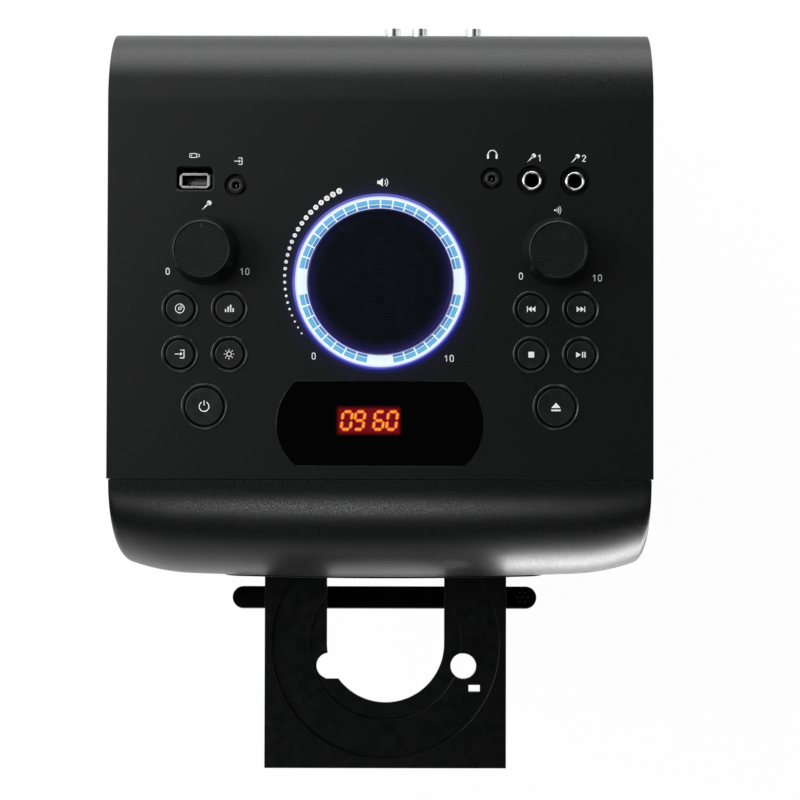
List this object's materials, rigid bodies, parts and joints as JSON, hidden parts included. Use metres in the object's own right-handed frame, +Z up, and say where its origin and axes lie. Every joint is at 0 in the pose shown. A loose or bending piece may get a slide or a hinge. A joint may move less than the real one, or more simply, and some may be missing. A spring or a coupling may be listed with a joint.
{
  "type": "karaoke machine with disc tray",
  "caption": "Tabletop karaoke machine with a disc tray in its front, a lit volume control, push buttons, knobs and sockets on its flat top, and a loudspeaker below.",
  "frame": {"origin": "on the surface it stands on, under the middle of its whole length with the tray out", "axes": "+X to the user's right, -Y towards the user, where the tray comes out, +Z up"},
  "size_m": [0.268, 0.3914, 0.3568],
  "materials": {
    "cover_black": "fine matte grain",
    "casing_black": "fine matte grain",
    "cabinet_black": "coarser matte grain",
    "foot_rubber": "matt",
    "frame_black": "satin",
    "grille_paint": "satin black paint",
    "basket_steel": "satin",
    "magnet_ferrite": "matt",
    "cone_paper": "matt",
    "board_green": "solder mask",
    "switch_steel": "plain",
    "bezel_plastic": "satin",
    "window_black": "polished",
    "module_plastic": "matt",
    "ring_clear": "frosted",
    "board_white": "solder mask",
    "encoder_steel": "plain",
    "pot_steel": "plain",
    "usb_steel": "nickel plated",
    "jack_black": "moulded",
    "mic_jack_black": "moulded, with a plated ferrule",
    "phono_nickel": "nickel plated",
    "inlet_black": "moulded",
    "board_brown": "phenolic board",
    "shelf_black": "moulded",
    "deck_black": "moulded",
    "motor_steel": "plated",
    "belt_rubber": "matt",
    "bridge_steel": "zinc plated",
    "screw_steel": "zinc plated",
    "master_black": "fine mesh print under a satin top",
    "knob_black": "knurled top",
    "tray_black": "satin",
    "gear_white": "acetal",
    "door_black": "satin",
    "puck_black": "matt",
    "traverse_steel": "satin",
    "turntable_black": "matt",
    "rod_steel": "ground",
    "sled_black": "moulded",
    "button_black": "satin"
  },
  "bodies": {
    "cabinet": {"top_cover": "cover_black", "control_panel": "cover_black", "front_casing": "casing_black", "rear_cabinet": "cabinet_black", "rubber_feet": "foot_rubber", "slot_frame": "frame_black", "speaker_grille": "grille_paint", "woofer_basket": "basket_steel", "woofer_magnet": "magnet_ferrite", "control_board": "board_green", "tact_switches": "switch_steel", "button_bezels": "bezel_plastic", "display_window": "window_black", "display_module": "module_plastic", "light_ring": "ring_clear", "led_ring_board": "board_white", "master_encoder": "encoder_steel", "knob_pots": "pot_steel", "usb_socket": "usb_steel", "line_in_socket": "jack_black", "headphone_socket": "jack_black", "mic_socket_1": "mic_jack_black", "mic_socket_2": "mic_jack_black", "phono_sockets": "phono_nickel", "mains_inlet": "inlet_black", "power_board": "board_brown", "main_board": "board_green", "deck_shelf": "shelf_black", "loader_chassis": "deck_black", "loading_motor": "motor_steel", "loader_belt": "belt_rubber", "clamp_bridge": "bridge_steel", "screws": "screw_steel"},
    "tray": {"disc_tray": "tray_black"},
    "tray_gear_body": {"tray_gear": "gear_white"},
    "loader_pulley_body": {"loader_pulley": "gear_white"},
    "motor_pulley_body": {"motor_pulley": "gear_white"},
    "door": {"tray_door": "door_black"},
    "cone": {"woofer_cone": "cone_paper"},
    "puck": {"clamp_puck": "puck_black"},
    "traverse": {"traverse_base": "traverse_steel", "spindle_motor": "motor_steel", "sled_rods": "rod_steel", "sled_motor": "motor_steel"},
    "platter": {"turntable": "turntable_black"},
    "sled": {"pickup_sled": "sled_black"},
    "screw_shaft": {"lead_screw": "rod_steel"},
    "master_volume": {"master_knob": "master_black"},
    "mic_volume": {"mic_volume_knob": "knob_black"},
    "echo": {"echo_knob": "knob_black"},
    "key_mode": {"button_mode": "button_black"},
    "key_tone": {"button_tone": "button_black"},
    "key_source": {"button_source": "button_black"},
    "key_light": {"button_light": "button_black"},
    "key_power": {"button_power": "button_black"},
    "key_previous": {"button_previous": "button_black"},
    "key_next": {"button_next": "button_black"},
    "key_stop": {"button_stop": "button_black"},
    "key_play": {"button_play": "button_black"},
    "key_eject": {"button_eject": "button_black"}
  },
  "joints": [
    {"name": "tray_slide", "type": "slide", "parent": "cabinet", "child": "tray", "axis": [0, 1, 0], "range_m": [0, 0.1045]},
    {"name": "tray_gear_turn", "type": "hinge", "parent": "cabinet", "child": "tray_gear_body", "pos_m": [-0.039, -0.04, 0.24], "axis": [0, 0, 1], "range_deg": [-600, 0]},
    {"name": "loader_pulley_turn", "type": "hinge", "parent": "cabinet", "child": "loader_pulley_body", "pos_m": [-0.039, -0.021, 0.236], "axis": [0, 0, 1], "range_deg": [0, 1680]},
    {"name": "motor_pulley_turn", "type": "hinge", "parent": "cabinet", "child": "motor_pulley_body", "pos_m": [-0.039, 0.021, 0.236], "axis": [0, 0, 1], "range_deg": [0, 6620]},
    {"name": "door_hinge", "type": "hinge", "parent": "cabinet", "child": "door", "pos_m": [0, -0.0867, 0.2296], "axis": [1, 0, 0], "range_deg": [-24, 0]},
    {"name": "cone_slide", "type": "slide", "parent": "cabinet", "child": "cone", "axis": [0, -1, 0], "range_m": [-0.0025, 0.0025], "stiffness_N_per_m": 2000},
    {"name": "puck_spin", "type": "hinge", "parent": "cabinet", "child": "puck", "pos_m": [0.001, -0.0257, 0.258], "axis": [0, 0, 1], "continuous": true},
    {"name": "traverse_lift", "type": "hinge", "parent": "cabinet", "child": "traverse", "pos_m": [0.001, 0.064, 0.2343], "axis": [-1, 0, 0], "range_deg": [0, 3.2]},
    {"name": "turntable_spin", "type": "hinge", "parent": "traverse", "child": "platter", "pos_m": [0.001, -0.0257, 0.245], "axis": [0, 0, 1], "continuous": true},
    {"name": "sled_slide", "type": "slide", "parent": "traverse", "child": "sled", "axis": [0, 1, 0], "range_m": [0, 0.034]},
    {"name": "lead_screw_turn", "type": "hinge", "parent": "traverse", "child": "screw_shaft", "pos_m": [-0.0225, 0.02, 0.2386], "axis": [0, 1, 0], "range_deg": [0, 2050]},
    {"name": "master_volume_turn", "type": "hinge", "parent": "cabinet", "child": "master_volume", "pos_m": [0, 0.0601, 0.342], "axis": [0, 0, 1], "range_deg": [-150, 150]},
    {"name": "mic_volume_turn", "type": "hinge", "parent": "cabinet", "child": "mic_volume", "pos_m": [-0.0861, 0.0752, 0.345], "axis": [0, 0, 1], "range_deg": [-140, 140]},
    {"name": "echo_turn", "type": "hinge", "parent": "cabinet", "child": "echo", "pos_m": [0.0861, 0.0752, 0.345], "axis": [0, 0, 1], "range_deg": [-140, 140]},
    {"name": "mode_press", "type": "slide", "parent": "cabinet", "child": "key_mode", "axis": [0, 0, -1], "range_m": [0, 0.0008], "stiffness_N_per_m": 300, "springref_m": -0.002},
    {"name": "tone_press", "type": "slide", "parent": "cabinet", "child": "key_tone", "axis": [0, 0, -1], "range_m": [0, 0.0008], "stiffness_N_per_m": 300, "springref_m": -0.002},
    {"name": "source_press", "type": "slide", "parent": "cabinet", "child": "key_source", "axis": [0, 0, -1], "range_m": [0, 0.0008], "stiffness_N_per_m": 300, "springref_m": -0.002},
    {"name": "light_press", "type": "slide", "parent": "cabinet", "child": "key_light", "axis": [0, 0, -1], "range_m": [0, 0.0008], "stiffness_N_per_m": 300, "springref_m": -0.002},
    {"name": "power_press", "type": "slide", "parent": "cabinet", "child": "key_power", "axis": [0, 0, -1], "range_m": [0, 0.0008], "stiffness_N_per_m": 300, "springref_m": -0.002},
    {"name": "previous_press", "type": "slide", "parent": "cabinet", "child": "key_previous", "axis": [0, 0, -1], "range_m": [0, 0.0008], "stiffness_N_per_m": 300, "springref_m": -0.002},
    {"name": "next_press", "type": "slide", "parent": "cabinet", "child": "key_next", "axis": [0, 0, -1], "range_m": [0, 0.0008], "stiffness_N_per_m": 300, "springref_m": -0.002},
    {"name": "stop_press", "type": "slide", "parent": "cabinet", "child": "key_stop", "axis": [0, 0, -1], "range_m": [0, 0.0008], "stiffness_N_per_m": 300, "springref_m": -0.002},
    {"name": "play_press", "type": "slide", "parent": "cabinet", "child": "key_play", "axis": [0, 0, -1], "range_m": [0, 0.0008], "stiffness_N_per_m": 300, "springref_m": -0.002},
    {"name": "eject_press", "type": "slide", "parent": "cabinet", "child": "key_eject", "axis": [0, 0, -1], "range_m": [0, 0.0008], "stiffness_N_per_m": 300, "springref_m": -0.002}
  ],
  "couplings": [
    {"joint": "tray_gear_turn", "follows": "tray_slide", "rad_per_m": -100},
    {"joint": "loader_pulley_turn", "follows": "tray_slide", "rad_per_m": 280},
    {"joint": "motor_pulley_turn", "follows": "tray_slide", "rad_per_m": 1101.3},
    {"joint": "lead_screw_turn", "follows": "sled_slide", "rad_per_m": 1047.2}
  ]
}
